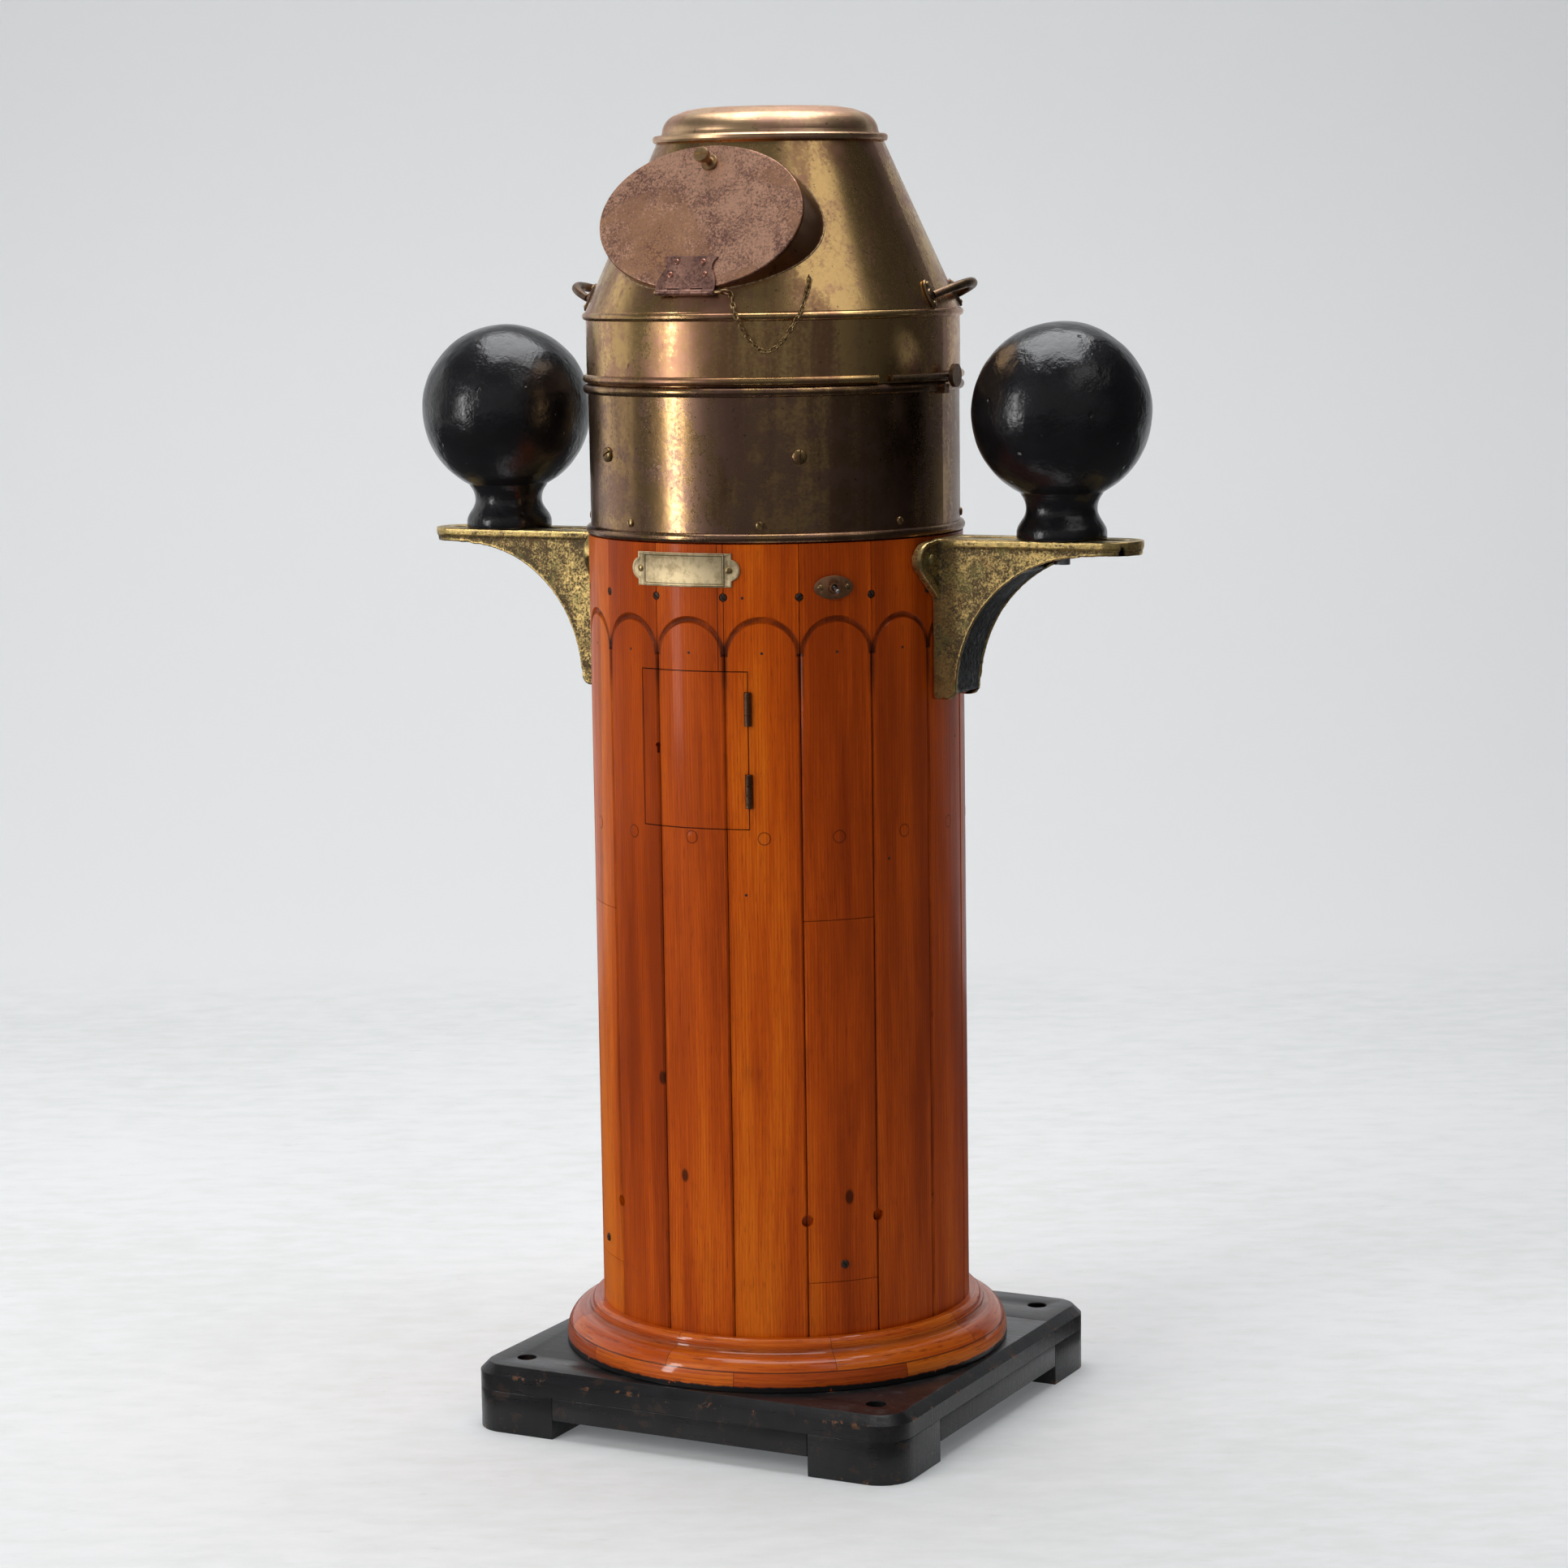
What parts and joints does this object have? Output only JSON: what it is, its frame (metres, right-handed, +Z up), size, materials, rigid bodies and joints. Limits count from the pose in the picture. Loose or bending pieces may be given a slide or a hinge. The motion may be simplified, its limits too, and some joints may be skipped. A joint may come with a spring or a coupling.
{
  "type": "binnacle compass",
  "caption": "Staved wooden ship's binnacle with a gimballed compass, side brackets carrying iron corrector spheres, magnet chamber door and a lift-off brass helmet with a hinged window lid.",
  "frame": {"origin": "centre of the square base's underside, on the floor", "axes": "+Z up along the pedestal, -Y out of the door and the window, +X to the right-hand bracket seen from the front"},
  "size_m": [0.8078, 0.484, 1.3285],
  "materials": {
    "base_black": "satin black painted wood, worn to brown along edges",
    "card_white": "ivory compass card",
    "cast_bracket": "rough cast brass, dark speckled, bright edges",
    "clear_glass": "clear glass",
    "dark_brass": "dark reddish brass",
    "inner_wood": "bare oiled hardwood",
    "lamp_glass": "clear lamp glass",
    "lid_brass": "coppery brown patina, speckled",
    "plate_brass": "yellower polished brass",
    "sphere_black": "glossy black paint on cast iron",
    "steel": "plain bright steel",
    "tarnished_brass": "brown tarnished brass with mottled sheen",
    "teak_varnish": "varnished teak, fine vertical grain, orange red"
  },
  "bodies": {
    "pedestal": {"base_board_front": "base_black", "base_board_rear": "base_black", "base_rails": "base_black", "base_feet": "base_black", "foot_ring_lower": "teak_varnish", "foot_ring_upper": "teak_varnish", "column_staves": "teak_varnish", "column_screws": "steel", "pedestal_floor": "inner_wood", "pedestal_top_disc": "inner_wood", "magnet_shelf": "inner_wood", "magnet_rack_left": "inner_wood", "magnet_rack_right": "inner_wood", "corrector_magnets": "steel", "heeling_tube": "plate_brass", "frame_hinge_barrels": "dark_brass", "door_hinge_pins": "steel", "nameplate": "plate_brass", "plate_screws": "plate_brass", "switch_plate": "dark_brass", "switch_body": "dark_brass", "lamp_holder": "plate_brass", "lamp_bulb": "lamp_glass", "bracket_left": "cast_bracket", "bracket_right": "cast_bracket", "bracket_rivets": "cast_bracket", "compass_drum": "tarnished_brass", "drum_seat_ring": "inner_wood", "drum_screws": "tarnished_brass", "gimbal_support_ring": "tarnished_brass"},
    "door": {"magnet_door": "teak_varnish", "door_hinge_barrels": "dark_brass", "door_lock_case": "plate_brass"},
    "door_bolt": {"door_lock_bolt": "steel"},
    "panel_left": {"access_panel_left": "teak_varnish"},
    "panel_right": {"access_panel_right": "teak_varnish"},
    "toggle": {"switch_toggle": "steel"},
    "corrector_left": {"sphere_left": "sphere_black", "sphere_bolt_left": "steel"},
    "corrector_right": {"sphere_right": "sphere_black", "sphere_bolt_right": "steel"},
    "bucket": {"heeling_bucket": "plate_brass"},
    "gimbal": {"gimbal_ring": "tarnished_brass"},
    "bowl": {"compass_bowl": "tarnished_brass", "bowl_bezel": "tarnished_brass", "bowl_glass": "clear_glass", "card_pivot": "steel"},
    "card": {"compass_card": "card_white"},
    "helmet": {"helmet_shell": "tarnished_brass", "helmet_cap": "tarnished_brass", "window_spout": "tarnished_brass", "window_glass": "clear_glass", "spout_hinge_leaf": "lid_brass", "lid_hinge_pin": "tarnished_brass", "retaining_chain": "tarnished_brass", "helmet_handles": "tarnished_brass"},
    "lid": {"window_lid": "lid_brass", "lid_hinge_leaf": "lid_brass"},
    "knob": {"lid_knob": "plate_brass"},
    "lock_bolt": {"helmet_lock_bolt": "tarnished_brass"}
  },
  "joints": [
    {"name": "door_hinge", "type": "hinge", "parent": "pedestal", "child": "door", "pos_m": [0.05981, -0.18192, 0.703], "axis": [0, 0, 1], "range_deg": [0, 110]},
    {"name": "door_bolt_slide", "type": "slide", "parent": "door", "child": "door_bolt", "axis": [-0.9792, 0.2028, 0], "range_m": [-0.006, 0]},
    {"name": "panel_left_pull", "type": "slide", "parent": "pedestal", "child": "panel_left", "axis": [-0.7071, -0.7071, 0], "range_m": [0, 0.08]},
    {"name": "panel_right_pull", "type": "slide", "parent": "pedestal", "child": "panel_right", "axis": [0.7071, -0.7071, 0], "range_m": [0, 0.08]},
    {"name": "lamp_switch", "type": "hinge", "parent": "pedestal", "child": "toggle", "pos_m": [0.13268, -0.13739, 0.861], "axis": [-0.7193, -0.6947, 0], "range_deg": [0, 26]},
    {"name": "corrector_left_slide", "type": "slide", "parent": "pedestal", "child": "corrector_left", "axis": [-1, 0, 0], "range_m": [-0.025, 0.045]},
    {"name": "corrector_right_slide", "type": "slide", "parent": "pedestal", "child": "corrector_right", "axis": [1, 0, 0], "range_m": [-0.025, 0.045]},
    {"name": "bucket_lift", "type": "slide", "parent": "pedestal", "child": "bucket", "axis": [0, 0, 1], "range_m": [0, 0.6]},
    {"name": "gimbal_tilt", "type": "hinge", "parent": "pedestal", "child": "gimbal", "pos_m": [0, 0, 1.008], "axis": [0, 1, 0], "range_deg": [-20, 20]},
    {"name": "bowl_tilt", "type": "hinge", "parent": "gimbal", "child": "bowl", "pos_m": [0, 0, 1.008], "axis": [1, 0, 0], "range_deg": [-20, 20]},
    {"name": "card_turn", "type": "hinge", "parent": "bowl", "child": "card", "pos_m": [0, 0, 1.008], "axis": [0, 0, 1], "continuous": true},
    {"name": "helmet_lift", "type": "slide", "parent": "pedestal", "child": "helmet", "axis": [0, 0, 1], "range_m": [0, 0.3]},
    {"name": "lid_hinge", "type": "hinge", "parent": "helmet", "child": "lid", "pos_m": [0, -0.18448, 1.14673], "axis": [1, 0, 0], "range_deg": [0, 118]},
    {"name": "knob_turn", "type": "hinge", "parent": "lid", "child": "knob", "pos_m": [0, -0.12932, 1.27137], "axis": [0, -0.9135, 0.4067], "range_deg": [0, 90]},
    {"name": "lock_bolt_turn", "type": "hinge", "parent": "helmet", "child": "lock_bolt", "pos_m": [0, 0, 1.061], "axis": [0, 0, 1], "range_deg": [-3.5, 0]}
  ]
}
